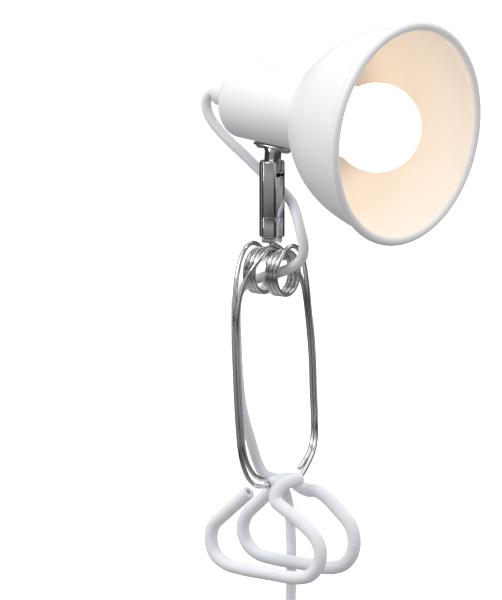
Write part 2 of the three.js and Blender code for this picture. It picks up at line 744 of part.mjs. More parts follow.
const cordLink = [
  [SWITCH_X, SWITCH_Y, SWITCH_TOP - SWITCH_H - 8.7],
  [SWITCH_X, 22.8, -262],
  [0, 25.6, -270.5],
  [8.4, 30, -276.6],
  [18.4, 34.8, -278.4],
  [29, 37.5, -276.6],
];
const cordTail = [
  [30, 48.5, -199.6],
  [20, 49.8, -199],
  [8, 51, -200.6],
  [-4, 51, -205],
  [-13, 51, -213.6],
  [-17.6, 51, -224],
  [-18.5, 51, -233.7],
];
for (const [name, route] of Object.entries({ cord_link: cordLink, cord_tail: cordTail })) {
  add(upper, name, tube(smooth(route, 7), CORD_D), CORD_WHITE);
}

// Soft cable guards, open rings that taper onto the cord.
const guard = (from, to, wide) => [
  [CORD_D / 2 + GAP, from], [wide, from], [wide * 0.86, (from + to) / 2],
  [CORD_D / 2 + 0.9, to], [CORD_D / 2 + GAP, to],
];
const guardUp = turnedZ(guard(SWITCH_TOP + GAP, SWITCH_TOP + 8.4, 5), 16).translate(SWITCH_X, SWITCH_Y, 0);
const guardBottom = SWITCH_TOP - SWITCH_H;
const guardDown = turnedZ(guard(guardBottom - GAP, guardBottom - 8.4, 5), 16).translate(SWITCH_X, SWITCH_Y, 0);
add(upper, 'switch_guard_top', guardUp, WHITE_PLASTIC);
add(upper, 'switch_guard_bottom', guardDown, WHITE_PLASTIC);

// ---- plug: a flat two-pin body that hangs from the cord's tail ----
const PLUG_X = -18.5;
const PLUG_Y = 51;
const PLUG_TOP = -234;
const plug = new THREE.Group();
plug.position.set(PLUG_X, PLUG_Y, PLUG_TOP);
upper.add(plug);

function plugBody() {
  const outline = new THREE.Shape();
  outline.moveTo(-6.5, -18.6);
  outline.lineTo(6.5, -18.6);
  outline.quadraticCurveTo(17.4, -22, 17.6, -33);
  outline.lineTo(17.6, -50);
  outline.quadraticCurveTo(17.6, -53.6, 14, -53.6);
  outline.lineTo(-14, -53.6);
  outline.quadraticCurveTo(-17.6, -53.6, -17.6, -50);
  outline.lineTo(-17.6, -33);
  outline.quadraticCurveTo(-17.4, -22, -6.5, -18.6);
  return prism(outline, 13.6, 6).rotateX(Math.PI / 2).translate(0, 6.8, 0);
}

add(plug, 'plug_guard', turnedZ([
  [0, -18.3], [5.6, -18.3], [3.6, -GAP], [0, -GAP],
], 16), WHITE_PLASTIC);
add(plug, 'plug_body', plugBody(), WHITE_PLASTIC);
for (const side of LEFT_AND_RIGHT) {
  const pin = turnedZ([[0, -73], [1.4, -73], [2, -72.2], [2, -53.9], [0, -53.9]], 12).translate(side * 9.3, 0, 0);
  add(plug, side < 0 ? 'plug_pin_left' : 'plug_pin_right', pin, BRASS);
}

export default lamp;
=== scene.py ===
"""Looks for the clip-on spot lamp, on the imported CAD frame.

Lengths in the tables are millimetres. Heights are measured from the axis of the spring
coil, as in the CAD source, and LAMP, SWIVEL, NECK and HEAD place them in the row frame.
"""
import json
import math

import bmesh
import bpy
from mathutils import Matrix, Vector

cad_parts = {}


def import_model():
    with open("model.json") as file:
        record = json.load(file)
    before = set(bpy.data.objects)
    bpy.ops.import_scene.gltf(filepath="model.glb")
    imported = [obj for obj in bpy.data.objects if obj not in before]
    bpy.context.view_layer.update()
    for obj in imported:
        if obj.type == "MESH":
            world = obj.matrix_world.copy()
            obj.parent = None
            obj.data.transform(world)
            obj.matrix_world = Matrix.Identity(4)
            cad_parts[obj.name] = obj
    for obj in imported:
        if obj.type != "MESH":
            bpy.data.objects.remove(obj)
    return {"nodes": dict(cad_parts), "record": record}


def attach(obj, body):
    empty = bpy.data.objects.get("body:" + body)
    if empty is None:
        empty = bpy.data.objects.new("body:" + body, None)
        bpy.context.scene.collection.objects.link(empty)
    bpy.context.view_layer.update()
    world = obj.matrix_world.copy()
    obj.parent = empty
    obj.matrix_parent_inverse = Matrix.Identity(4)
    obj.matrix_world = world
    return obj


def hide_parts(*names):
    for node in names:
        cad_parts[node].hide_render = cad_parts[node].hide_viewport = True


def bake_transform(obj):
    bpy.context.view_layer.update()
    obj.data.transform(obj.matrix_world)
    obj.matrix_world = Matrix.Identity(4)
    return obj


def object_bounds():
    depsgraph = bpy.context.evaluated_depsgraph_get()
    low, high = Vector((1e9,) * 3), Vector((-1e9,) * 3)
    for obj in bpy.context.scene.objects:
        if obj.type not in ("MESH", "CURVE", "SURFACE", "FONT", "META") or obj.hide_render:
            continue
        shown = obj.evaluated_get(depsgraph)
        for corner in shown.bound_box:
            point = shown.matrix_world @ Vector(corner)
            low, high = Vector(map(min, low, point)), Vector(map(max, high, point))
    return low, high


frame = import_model()
cad_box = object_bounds()

MM = 0.001
COIL_Z = 117.7          # coil axis above the top edge of the gripped board
PIVOT_Z = 55.4          # tilt pivot
HEAD_Z = 89.4           # axis of the housing and the shade
HEAD_TILT = 4.9
HEAD_SWIVEL = -6.7
WIRE_D = 2.5
COIL_R = 11.6
COIL_IN = 3.1
COIL_OUT = 11.1
COIL_LEAD = 40
COIL_TURN = 1025
SLEEVE_D = 7.2
SLEEVE_BORE = 3.4
KNUCKLE_R = 6.8
HOUSING_R = 20.8
HOUSING_BACK = -25.4
HOUSING_FRONT = 28.2
SHADE_BACK = 28.5
SHADE_RIM = 93.2
BULB_R = 23
BULB_X = 70.4
CORD_D = 5.5
RING_R = 30             # middle of the turns of the stored cord
RING_CENTRE = (36, 43, -238)
SWITCH_PLACE = (-2.9, 22, -223)
PLUG_PLACE = (-18.5, 51, -234)


def shift(x, y, z):
    return Matrix.Translation(Vector((x, y, z)) * MM)


LAMP = shift(0, 0, COIL_Z)
SWIVEL = LAMP @ Matrix.Rotation(math.radians(HEAD_SWIVEL), 4, "Z")
TILTED = Matrix.Rotation(math.radians(HEAD_TILT), 4, "Y")
NECK = SWIVEL @ shift(0, 0, PIVOT_Z) @ TILTED @ shift(0, 0, -PIVOT_Z)
HEAD = NECK @ shift(0, 0, HEAD_Z)
SWITCH = LAMP @ shift(*SWITCH_PLACE)
PLUG = LAMP @ shift(*PLUG_PLACE)


# ---- camera ----
def set_camera():
    data = bpy.data.cameras.new("camera")
    data.sensor_fit = "VERTICAL"
    data.sensor_width = data.sensor_height = 36
    data.lens = 202.1
    data.clip_end = 100
    camera = bpy.data.objects.new("camera", data)
    bpy.context.collection.objects.link(camera)
    target = Vector((-7.5, -8.7, 102.6)) * MM
    back = Vector((0.5792, -0.7972, 0.1702)).normalized()
    camera.rotation_mode = "QUATERNION"
    camera.location = target + back * 1.8
    camera.rotation_quaternion = (-back).to_track_quat("-Z", "Y")
    bpy.context.scene.camera = camera


set_camera()


# ---- paths ----
def catmull(p, t):
    """Centripetal Catmull-Rom between p[1] and p[2]."""
    knots = [0.0]
    for a, b in zip(p, p[1:]):
        knots.append(knots[-1] + max((b - a).length, 1e-9) ** 0.5)
    t = knots[1] + t * (knots[2] - knots[1])

    def mix(a, b, ta, tb):
        return a * ((tb - t) / (tb - ta)) + b * ((t - ta) / (tb - ta))

    low = [mix(p[i], p[i + 1], knots[i], knots[i + 1]) for i in range(3)]
    mid = [mix(low[i], low[i + 1], knots[i], knots[i + 2]) for i in range(2)]
    return mix(mid[0], mid[1], knots[1], knots[2])


def spread(points, step):
    """The same line with evenly spaced points."""
    run = [0.0]
    for a, b in zip(points, points[1:]):
        run.append(run[-1] + (b - a).length)
    count = max(2, round(run[-1] / step))
    out = []
    k = 0
    for i in range(count + 1):
        want = run[-1] * i / count
        while k < len(run) - 2 and run[k + 1] < want:
            k += 1
        share = (want - run[k]) / max(run[k + 1] - run[k], 1e-12)
        out.append(points[k].lerp(points[k + 1], min(share, 1)))
    return out


def smooth(hand_points, step=1.0):
    """Evenly spaced points on a smooth curve through the given ones."""
    p = [Vector(q) for q in hand_points]
    p = [2 * p[0] - p[1], *p, 2 * p[-1] - p[-2]]
    fine = []
    for i in range(len(p) - 3):
        fine += [catmull(p[i:i + 4], k / 12) for k in range(12)]
    return spread([*fine, p[-2]], step)


def nearest(points, place):
    place = Vector(place)
    return min(range(len(points)), key=lambda i: (points[i] - place).length)


# ---- meshes ----
def skin(name, loops, closed=False, sharp=32):
    """A mesh from rings of points. A ring of one point is a tip, and other ends are capped."""
    bm = bmesh.new()
    rings = [[bm.verts.new(Vector(p) * MM) for p in loop] for loop in loops]
    pairs = list(zip(rings, rings[1:]))
    if closed:
        pairs.append((rings[-1], rings[0]))
    for a, b in pairs:
        n = max(len(a), len(b))
        for i in range(n):
            j = (i + 1) % n
            corners = [a[i % len(a)], a[j % len(a)], b[j % len(b)], b[i % len(b)]]
            bm.faces.new(list(dict.fromkeys(corners)))
    if not closed:
        for end in (rings[0], rings[-1]):
            if len(end) > 2:
                bm.faces.new(end)
    return mesh_from(name, bm, sharp)


def mesh_from(name, bm, sharp=32):
    bmesh.ops.recalc_face_normals(bm, faces=bm.faces)
    limit = math.radians(sharp)
    for face in bm.faces:
        face.smooth = True
    for edge in bm.edges:
        edge.smooth = len(edge.link_faces) == 2 and edge.calc_face_angle(0) < limit
    if name in bpy.data.meshes:
        bpy.data.meshes[name].name = name + "_cad"
    mesh = bpy.data.meshes.new(name)
    bm.to_mesh(mesh)
    bm.free()
    return mesh


def lathe(name, profile, axis="Z", segments=96, sharp=32):
    """A turned piece from [radius, distance] pairs. It closes on itself off the axis."""
    def loop(r, d):
        if r == 0:
            return [(d, 0, 0) if axis == "X" else (0, d, 0) if axis == "Y" else (0, 0, d)]
        out = []
        for i in range(segments):
            a = 2 * math.pi * i / segments
            c, s = r * math.cos(a), r * math.sin(a)
            out.append((d, c, s) if axis == "X" else (c, d, s) if axis == "Y" else (c, s, d))
        return out

    on_axis = profile[0][0] == 0 and profile[-1][0] == 0
    return skin(name, [loop(r, d) for r, d in profile], closed=not on_axis, sharp=sharp)


def arc(centre_r, centre_d, radius, start, end, steps=8):
    """Profile points on a circle, from start to end in degrees."""
    out = []
    for i in range(steps + 1):
        a = math.radians(start + (end - start) * i / steps)
        out.append((centre_r + radius * math.cos(a), centre_d + radius * math.sin(a)))
    return out


def tube(name, points, d, sides=24, bore=0, swell=None):
    """A tube round the points. swell gives a factor on the outer diameter at each point."""
    last = len(points) - 1
    ways = [(points[min(i + 1, last)] - points[max(i - 1, 0)]).normalized() for i in range(last + 1)]
    side = ways[0].orthogonal().normalized()
    outer, inner = [], []
    for i, (p, way) in enumerate(zip(points, ways)):
        if i:
            side.rotate(ways[i - 1].rotation_difference(way))
        across = way.cross(side)
        grow = swell[i] if swell else 1
        for rings, width in ((outer, d * grow), (inner, bore)):
            rings.append([
                p + (side * math.cos(a) + across * math.sin(a)) * width / 2
                for a in (2 * math.pi * k / sides for k in range(sides))
            ])
    if bore:
        return skin(name, outer + inner[::-1], closed=True)
    return skin(name, outer)


def rounded(points, d, bevel):
    """Swell factors that round off both ends of a tube."""
    run = [0.0]
    for a, b in zip(points, points[1:]):
        run.append(run[-1] + (b - a).length)
    out = []
    for s in run:
        near = min(s, run[-1] - s)
        inset = bevel - math.sqrt(max(bevel ** 2 - max(bevel - near, 0) ** 2, 0))
        out.append(1 - 2 * inset / d)
    return out


def with_ends(points, bevel):
    """Adds close points at both ends, so that a rounded end has rings to bend on."""
    def extra(a, b):
        way = (b - a).normalized()
        return [a + way * bevel * s for s in (0, 0.06, 0.25, 0.55, 1)]

    head = extra(points[0], points[1])
    tail = extra(points[-1], points[-2])[::-1]
    clear = bevel * 1.2
    middle = [p for p in points[1:-1]
              if (p - points[0]).length > clear and (p - points[-1]).length > clear]
    return [*head, *middle, *tail]


def box_loop(width, height, radius, corner=8):
    """Corner points of a rounded rectangle, always the same number of them."""
    out = []
    x, y = width / 2 - radius, height / 2 - radius
    for k, (sx, sy) in enumerate(((1, 1), (-1, 1), (-1, -1), (1, -1))):
        for i in range(corner + 1):
            a = math.pi / 2 * (k + i / corner)
            out.append((sx * x + radius * math.cos(a), sy * y + radius * math.sin(a)))
    return out


def prism(name, outline, low, high, axis="Y"):
    """An outline of (x, z) pairs drawn out along Y, or (x, y) pairs along Z."""
    def place(p, d):
        return (p[0], d, p[1]) if axis == "Y" else (p[0], p[1], d)

    return skin(name, [[place(p, low) for p in outline], [place(p, high) for p in outline]])


def shaped(mesh, cutters=(), bevel=0.0, segments=2, angle=30, sharp=32):
    """The mesh after cutting others out of it and rounding its edges."""
    obj = bpy.data.objects.new("shaping", mesh)
    bpy.context.collection.objects.link(obj)
    tools = []
    for cutter in cutters:
        tool = bpy.data.objects.new("cutter", cutter)
        bpy.context.collection.objects.link(tool)
        tools.append(tool)
        cut = obj.modifiers.new("cut", "BOOLEAN")
        cut.object = tool
        cut.solver = "EXACT"
    if bevel:
        edge = obj.modifiers.new("edge", "BEVEL")
        edge.width = bevel * MM
        edge.segments = segments
        edge.limit_method = "ANGLE"
        edge.angle_limit = math.radians(angle)
    bpy.context.view_layer.update()
    done = bpy.data.meshes.new_from_object(obj.evaluated_get(bpy.context.evaluated_depsgraph_get()))
    for used in [obj, *tools]:
        bpy.data.objects.remove(used)
    bm = bmesh.new()
    bm.from_mesh(done)
    return mesh_from(mesh.name, bm, sharp)


def piece(mesh, look, nodes=(), at=None, body=None):
    """An object of that mesh, which takes its finish from look and stands for the nodes."""
    obj = bpy.data.objects.new("fine_" + mesh.name, mesh)
    bpy.context.collection.objects.link(obj)
    obj.matrix_world = at if at is not None else Matrix.Identity(4)
    material, slot = look
    mesh.materials.clear()
    mesh.materials.append(material)
    if nodes:
        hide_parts(*nodes)
    if body:
        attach(obj, body)
    return obj


# ---- materials ----
def material(name, color, roughness, metallic=0.0, **sockets):
    made = bpy.data.materials.new(name)
    made.use_nodes = True
    shader = made.node_tree.nodes["Principled BSDF"]
    shader.inputs["Base Color"].default_value = (*color, 1)
    shader.inputs["Roughness"].default_value = roughness
    shader.inputs["Metallic"].default_value = metallic
    for socket, value in sockets.items():
        shader.inputs[socket.replace("_", " ")].default_value = value
    return made


def noise(made, scale, detail=3.0, stretch=(1, 1, 1)):
    """Noise in the piece's own coordinates. stretch squeezes it along an axis."""
    nodes, links = made.node_tree.nodes, made.node_tree.links
    place = nodes.new("ShaderNodeTexCoord")
    mapping = nodes.new("ShaderNodeMapping")
    mapping.inputs["Scale"].default_value = stretch
    grain = nodes.new("ShaderNodeTexNoise")
    grain.inputs["Scale"].default_value = scale
    grain.inputs["Detail"].default_value = detail
    links.new(place.outputs["Object"], mapping.inputs["Vector"])
    links.new(mapping.outputs["Vector"], grain.inputs["Vector"])
    return grain.outputs["Fac"]


def tint(made, factor, low, high):
    """The base colour runs from low to high as factor goes from 0.3 to 0.7."""
    nodes, links = made.node_tree.nodes, made.node_tree.links
    ramp = nodes.new("ShaderNodeValToRGB")
    ramp.color_ramp.elements[0].position = 0.3
    ramp.color_ramp.elements[1].position = 0.7
    ramp.color_ramp.elements[0].color = (*low, 1)
    ramp.color_ramp.elements[1].color = (*high, 1)
    links.new(factor, ramp.inputs["Fac"])
    links.new(ramp.outputs["Color"], made.node_tree.nodes["Principled BSDF"].inputs["Base Color"])


def polish(made, factor, low, high):
    """The roughness runs from low to high as factor goes from 0.3 to 0.7."""
    nodes, links = made.node_tree.nodes, made.node_tree.links
    span = nodes.new("ShaderNodeMapRange")
    span.inputs["From Min"].default_value = 0.3
    span.inputs["From Max"].default_value = 0.7
    span.inputs["To Min"].default_value = low
    span.inputs["To Max"].default_value = high
    links.new(factor, span.inputs["Value"])
    links.new(span.outputs["Result"], made.node_tree.nodes["Principled BSDF"].inputs["Roughness"])


def relief(made, factor, depth):
    """Adds bumps of that depth in metres on top of those already there."""
    nodes, links = made.node_tree.nodes, made.node_tree.links
    shader = nodes["Principled BSDF"]
    bump = nodes.new("ShaderNodeBump")
    bump.inputs["Distance"].default_value = depth
    links.new(factor, bump.inputs["Height"])
    if shader.inputs["Normal"].links:
        links.new(shader.inputs["Normal"].links[0].from_socket, bump.inputs["Normal"])
    links.new(bump.outputs["Normal"], shader.inputs["Normal"])


def powder_coat():
    made = material("powder_coat", (0.86, 0.865, 0.875), 0.4)
    tint(made, noise(made, 28), (0.84, 0.845, 0.858), (0.875, 0.88, 0.888))
    polish(made, noise(made, 260, 4), 0.36, 0.46)
    relief(made, noise(made, 1100, 2), 0.00004)
    return made


def lining_painted_glow_and_shade():
    """Inside of the shade, with painted light in its colour: a painted warm glow of the bulb, turning to
    painted shade, darker and warmer, towards the bulb's neck.
    """
    made = material("lining_painted_glow_and_shade", (0.88, 0.83, 0.78), 0.5)
    nodes, links = made.node_tree.nodes, made.node_tree.links
    place = nodes.new("ShaderNodeTexCoord")
    split = nodes.new("ShaderNodeSeparateXYZ")
    span = nodes.new("ShaderNodeMapRange")
    span.inputs["From Min"].default_value = SHADE_BACK * MM
    span.inputs["From Max"].default_value = SHADE_RIM * MM
    ramp = nodes.new("ShaderNodeValToRGB")
    # Painted shade, darker and warmer, at the bulb's neck; paler painted warm glow towards the rim.
    ramp.color_ramp.elements[0].color = (0.74, 0.68, 0.64, 1)
    ramp.color_ramp.elements[1].color = (0.90, 0.86, 0.83, 1)
    links.new(place.outputs["Object"], split.inputs["Vector"])
    links.new(split.outputs["X"], span.inputs["Value"])
    links.new(span.outputs["Result"], ramp.inputs["Fac"])
    links.new(ramp.outputs["Color"], nodes["Principled BSDF"].inputs["Base Color"])
    polish(made, noise(made, 200, 4), 0.46, 0.56)
    relief(made, noise(made, 1100, 2), 0.00003)
    return made


def chrome(name, stretch, scale=300):
    made = material(name, (0.79, 0.80, 0.81), 0.07, 1.0)
    tint(made, noise(made, 60), (0.74, 0.75, 0.765), (0.84, 0.85, 0.855))
    polish(made, noise(made, scale, 5, stretch), 0.045, 0.13)
    relief(made, noise(made, scale, 3, stretch), 0.000004)
    return made


def zinc():
    made = material("zinc_plate", (0.55, 0.56, 0.58), 0.34, 1.0)
    tint(made, noise(made, 350, 5), (0.48, 0.49, 0.51), (0.62, 0.63, 0.65))
    polish(made, noise(made, 600, 4), 0.27, 0.45)
    relief(made, noise(made, 1500, 3), 0.00001)
    return made


def plain_metal(name, low, high):
    made = material(name, low, 0.3, 1.0)
    tint(made, noise(made, 300, 4), low, high)
    polish(made, noise(made, 500, 4), 0.22, 0.4)
    relief(made, noise(made, 1200, 3), 0.000008)
    return made


def moulded(name, low, high, roughness=0.36, grain=0.00002):
    made = material(name, low, roughness)
    tint(made, noise(made, 45), low, high)
    polish(made, noise(made, 320, 4), roughness - 0.05, roughness + 0.07)
    relief(made, noise(made, 1600, 2), grain)
    return made


def soft_vinyl(name, low, high, roughness):
    made = material(name, low, roughness, Subsurface_Weight=0.12, Subsurface_Scale=0.002)
    tint(made, noise(made, 70, 4), low, high)
    polish(made, noise(made, 240, 4), roughness - 0.06, roughness + 0.08)
    relief(made, noise(made, 900, 3), 0.00002)
    relief(made, noise(made, 90, 2), 0.00008)
    return made


def lit_opal():
    made = material("lit_opal", (0.95, 0.93, 0.88), 0.25, Emission_Strength=2.0)
    shader = made.node_tree.nodes["Principled BSDF"]
    shader.inputs["Emission Color"].default_value = (1.0, 0.83, 0.64, 1)
    tint(made, noise(made, 40), (0.94, 0.92, 0.87), (0.97, 0.95, 0.90))
    polish(made, noise(made, 200, 3), 0.2, 0.3)
    return made


PAINT = (powder_coat(), "white_paint")
PAINTED_LIGHT_LINING = lining_painted_glow_and_shade()
WIRE = (chrome("chrome_wire_finish", (1, 1, 1)), "chrome_wire")
TURNED = (chrome("chrome_turned_finish", (0.15, 0.15, 6), 500), "chrome_turned")
STEEL = (zinc(), "steel")
BRASS = (plain_metal("brass_finish", (0.55, 0.40, 0.16), (0.70, 0.54, 0.25)), "brass")
NICKEL = (plain_metal("nickel_finish", (0.58, 0.56, 0.52), (0.72, 0.70, 0.66)), "nickel")
PLASTIC = (moulded("white_plastic_finish", (0.80, 0.81, 0.825), (0.84, 0.85, 0.86)), "white_plastic")
SLEEVE = (soft_vinyl("sleeve_vinyl", (0.80, 0.815, 0.85), (0.84, 0.85, 0.88), 0.42), "soft_sleeve")
SHEATH = (soft_vinyl("cord_vinyl", (0.79, 0.795, 0.84), (0.83, 0.835, 0.87), 0.36), "cord_white")
GLOBE = (lit_opal(), "opal_glass")
CERAMIC = (moulded("holder_finish", (0.74, 0.71, 0.64), (0.80, 0.77, 0.70), 0.5), "ceramic")
BLACK = (moulded("key_finish", (0.018, 0.018, 0.02), (0.028, 0.028, 0.03), 0.4), "rocker_black")
LOOKS = {slot: made for made, slot in (
    PAINT, WIRE, TURNED, STEEL, BRASS, NICKEL, PLASTIC, SLEEVE, SHEATH, GLOBE, CERAMIC, BLACK)}


def dress_cad_nodes():
    """The small inner pieces stay as CAD nodes, in the same materials."""
    for entry in frame["record"]["subparts"]:
        node = frame["nodes"][entry["node"]]
        node.data.materials.clear()
        node.data.materials.append(LOOKS[entry["material_slot"]])


dress_cad_nodes()


# ---- cord ----
# The same points as the CAD tubes, one list for each stretch.
CORD_HEAD = [
    (-39.6, 4.65, 92.95), (-43.6, 5.1, 92.6), (-46.9, 5.4, 89.4), (-47.6, 5.6, 84.6),
    (-45.4, 6, 79), (-40.6, 6.9, 73), (-33.4, 8.2, 66.4), (-25.6, 10, 59.8),
]
CORD_NECK = [
    (-25.6, 10, 59.8), (-17.8, 11.6, 53), (-9, 12.8, 46.2), (-0.6, 12.3, 40.8), (6.4, 9.3, 36.6),
    (12, 4.7, 32.6), (16.8, 0.5, 28), (20.4, -2, 22.4), (22.4, -2.5, 16.2), (21.4, -2.2, 10.2),
]
CORD_COIL = [
    (21.4, -2.2, 10.2), (17.8, -1.6, 6.2), (12.8, -1, 3.2), (8, -0.5, 1), (3.6, 0, -0.6), (-2, 0, -2.3),
    (-8, -0.8, -4.4),
]
CORD_HANDLE = [
    (-8, -0.8, -4.4), (-13.2, -2.4, -6.3), (-15.9, -6.4, -10), (-15.3, -11, -15.4),
    (-12.6, -15.7, -23.4), (-9.5, -19.3, -33.6), (-7.7, -21.1, -44), (-6.8, -21.3, -54),
    (-5.9, -20.4, -67), (-4.5, -18.5, -78.5), (-3.5, -16, -86.5), (-3.1, -13, -94.5),
    (-3, -9.2, -102.5), (-2.6, -5, -109), (-2.2, 0, -112.6),
]
CORD_DROP = [
    (-2.2, 0, -112.6), (-2.6, 7, -114.6), (-2.9, 13.4, -119), (-2.9, 18.2, -127), (-2.9, 21, -138),
    (-2.9, 22.2, -151), (-2.9, 22.6, -166), (-2.9, 22.4, -180), (-2.9, 22, -191.3),
]
CORD_LINK = [
    (-2.9, 22, -247), (-2.9, 22, -254.7), (-2.9, 22.8, -262), (0, 25.6, -270.5),
    (8.4, 30, -276.6), (18.4, 34.8, -278.4),
]
CORD_TAIL = [
    (20, 49.8, -199), (8, 51, -200.6), (-4, 51, -205), (-13, 51, -213.6), (-17.6, 51, -224),
    (-18.5, 51, -233.7), (-18.5, 51, -242),
]
STRETCHES = {
    "cord_head": CORD_HEAD, "cord_neck": CORD_NECK, "cord_coil": CORD_COIL,
    "cord_handle": CORD_HANDLE, "cord_drop": CORD_DROP,
}


def cord_piece(name, points, nodes):
    return piece(tube(name, points, CORD_D, 28), SHEATH, nodes, LAMP)


def upper_cord():
    """The cord from the shade's bush to the switch, in one line cut at the joints."""
    whole = []
    for route in STRETCHES.values():
        whole += route[1:] if whole else route
    line = smooth(whole)
    made = {}
    for name, route in STRETCHES.items():
        first, last = nearest(line, route[0]), nearest(line, route[-1])
        if name == "cord_head":
            first = 0
        made[name] = line[first:last + 1]
    inside = Vector((6, 0, 0))
    made["cord_head"] = [made["cord_head"][0] + inside, *made["cord_head"]]
    made["cord_drop"].append(made["cord_drop"][-1] - Vector((0, 0, 8)))
    return made


cord_lines = upper_cord()
cords = {name: cord_piece(name, points, [name]) for name, points in cord_lines.items()}
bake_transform(cords["cord_head"])
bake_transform(cords["cord_neck"])
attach(cords["cord_coil"], "root")
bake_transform(cords["cord_handle"])
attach(cords["cord_drop"], "front_lever")


# The stored cord: each turn keeps to one of six places in the coil's section, and
# moves on to the next place a little sooner than the turn before it did.
ROW = CORD_D + 0.05
OUTER = RING_R + ROW / 2
INNER = RING_R - ROW / 2
PLACES = [
    (OUTER + 6.4, -1), (OUTER, -1), (INNER, -1), (INNER, 0),
    (INNER, 1), (OUTER, 1), (OUTER, 0), (OUTER + 6.1, 1),
]
RING_START = -100.3     # degrees, at the foot of the ring
RING_STEP = 324.87      # from one move to the next
RING_MOVE = 50          # degrees that a move takes


def ring_line():
    out = []
    end = RING_STEP * 6 + RING_MOVE
    for i in range(721):
        turn = end * i / 720
        r, row = PLACES[0]
        for k, (next_r, next_row) in enumerate(PLACES[1:]):
            u = min(max((turn - k * RING_STEP) / RING_MOVE, 0), 1)
            u = u * u * (3 - 2 * u)
            r, row = r + (next_r - r) * u, row + (next_row - row) * u
        a = math.radians(RING_START + turn)
        x, y, z = RING_CENTRE
        out.append(Vector((x + r * math.cos(a), y + row * ROW, z + r * math.sin(a))))
    return out


lower_line = smooth([*CORD_LINK, *ring_line()[::6], *CORD_TAIL], 1.5)
cord_ring = cord_piece("cord_stored", lower_line, ["cord_ring", "cord_link", "cord_tail"])
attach(cord_ring, "front_lever")


def cord_tie():
    """A strap with rounded edges round the stored turns."""
    wide, deep = 3 * ROW + 1.9, 2 * ROW + 1.9
    loops = []
    for height, grow in ((-3.4, -0.35), (-3.2, 0), (3.2, 0), (3.4, -0.35)):
        loops.append([(x, y, height) for x, y in box_loop(deep + grow, wide + grow, 3.2)])
    for height, grow in ((3.4, -1.2), (-3.4, -1.2)):
        loops.append([(x, y, height) for x, y in box_loop(deep + grow, wide + grow, 2.6)])
    mesh = skin("cord_tie", loops, closed=True)
    x, y, z = RING_CENTRE
    place = LAMP @ shift(x + RING_R, y, z)
    return piece(mesh, PLASTIC, at=place, body="front_lever")


cord_tie()


# ---- spring clamp ----
FRONT_LEG = [
    (-11.1, 2.8, 13), (-11, -3, 14.7), (-10.6, -8.2, 13.5), (-9.8, -13.4, 9.9), (-8.6, -18.4, 3.9),
    (-7.3, -22.2, -2.4), (-5.8, -25.5, -11.4), (-4.5, -27.9, -20.3), (-3.4, -29.3, -36.3),
    (-2.8, -29.4, -52.4), (-2, -29.3, -69), (-1.2, -29, -82), (-0.4, -28.4, -93), (0.4, -26.2, -102.4),
    (1.4, -22.2, -110), (2.6, -17.6, -113.9), (3.8, -13, -114.7),
]
REAR_JAW = [
    (4.6, -9.4, -114.4), (4.7, -4, -114.2), (4.7, 3, -114), (5.0, 9, -114.6), (6.4, 13, -117.2),
    (9.6, 14.4, -119.7), (14.6, 14.1, -120.6), (19.6, 14.1, -120.2), (26.5, 14.1, -123),
    (34.5, 14.1, -129.2), (41.4, 14.1, -135.4), (44.2, 14.1, -142), (43.6, 14.1, -150.6),
    (38.2, 14.1, -158), (28.8, 14.1, -161.6), (12, 14.1, -162), (-9, 14.1, -162),
    (-19.6, 14.1, -160.6), (-26.8, 14.1, -155.8), (-29.6, 14.1, -148), (-27.4, 14.1, -140.4),
    (-18, 14.1, -131), (-8.4, 14.1, -121.9),
]
REAR_LEG = [
    (11.1, -2.8, 13), (11, 3, 14.3), (10.6, 8.4, 12.6), (9.6, 13.4, 8.6), (8.4, 17.4, 3.7),
    (7.1, 20.9, -1.8), (6, 23.8, -8), (5.4, 26, -15), (5.3, 27.9, -26), (5.8, 29.1, -35.3),
    (6.4, 30.2, -51.7), (6.7, 30.7, -68), (7.3, 31, -84.3), (8.5, 29.3, -93.9), (10.3, 24.6, -100.9),
    (12.2, 17.3, -106), (13.5, 10.8, -109.8), (14.1, 7.6, -111.4),
]
FRONT_JAW = [
    (14.4, 5.6, -112.3), (14.4, 0, -112.3), (14.1, -5, -112.5), (13.2, -9.8, -113.9),
    (12, -12.9, -117.1), (12.6, -14.1, -121.1), (17, -14.1, -124.2), (23.2, -14.1, -127.4),
    (31.4, -14.1, -132.3), (38.5, -14.1, -137.8), (41.7, -14.1, -143.8), (41, -14.1, -151.7),
    (35.8, -14.1, -158.6), (26.6, -14.1, -161.7), (10, -14.1, -162), (-9.9, -14.1, -162),
    (-20.5, -14.1, -160.7), (-27.8, -14.1, -156.2), (-30.5, -14.1, -148), (-28.6, -14.1, -140.6),
    (-19, -14.1, -131.4), (-4.8, -14.1, -118.9),
]
FRONT_SHORT_LEG = [
    (3.1, -6.9, 13), (2.3, -13.1, 9.4), (0.6, -18, 3.9), (-1.6, -21.4, -2), (-2.4, -25.2, -10),
    (-1.8, -28.6, -20.3), (-0.6, -30.3, -36.3), (0.2, -30.5, -52.4), (1.1, -30.3, -69),
    (1.9, -29.9, -82), (2.7, -29, -92.6), (3.6, -26.3, -101), (4.5, -21.8, -107), (5.5, -16.9, -110),
    (6.3, -13.2, -110.4),
]
REAR_SHORT_LEG = [
    (-3.1, 6.9, 13), (-2.2, 13.1, 9.4), (-0.6, 17.9, 4.4), (1.2, 21.6, -1.4), (2.2, 25, -8.6),
    (2.3, 27.4, -16), (2.5, 29.4, -27), (2.9, 30.4, -36), (3.6, 31.5, -51.7), (3.9, 32, -68),
    (4.6, 32.2, -83.6), (5.6, 30.8, -92.8), (7.1, 26.5, -99.6), (8.7, 20.3, -104), (9.2, 15.6, -107.2),
    (9.4, 12, -109),
]
OPEN_END = 5.5          # bare bore beyond the wire at a sleeve's open end


def on_coil(side, x, degrees):
    a = math.radians(degrees)
    return Vector((side * x, -side * COIL_R * math.sin(a), COIL_R * math.cos(a)))


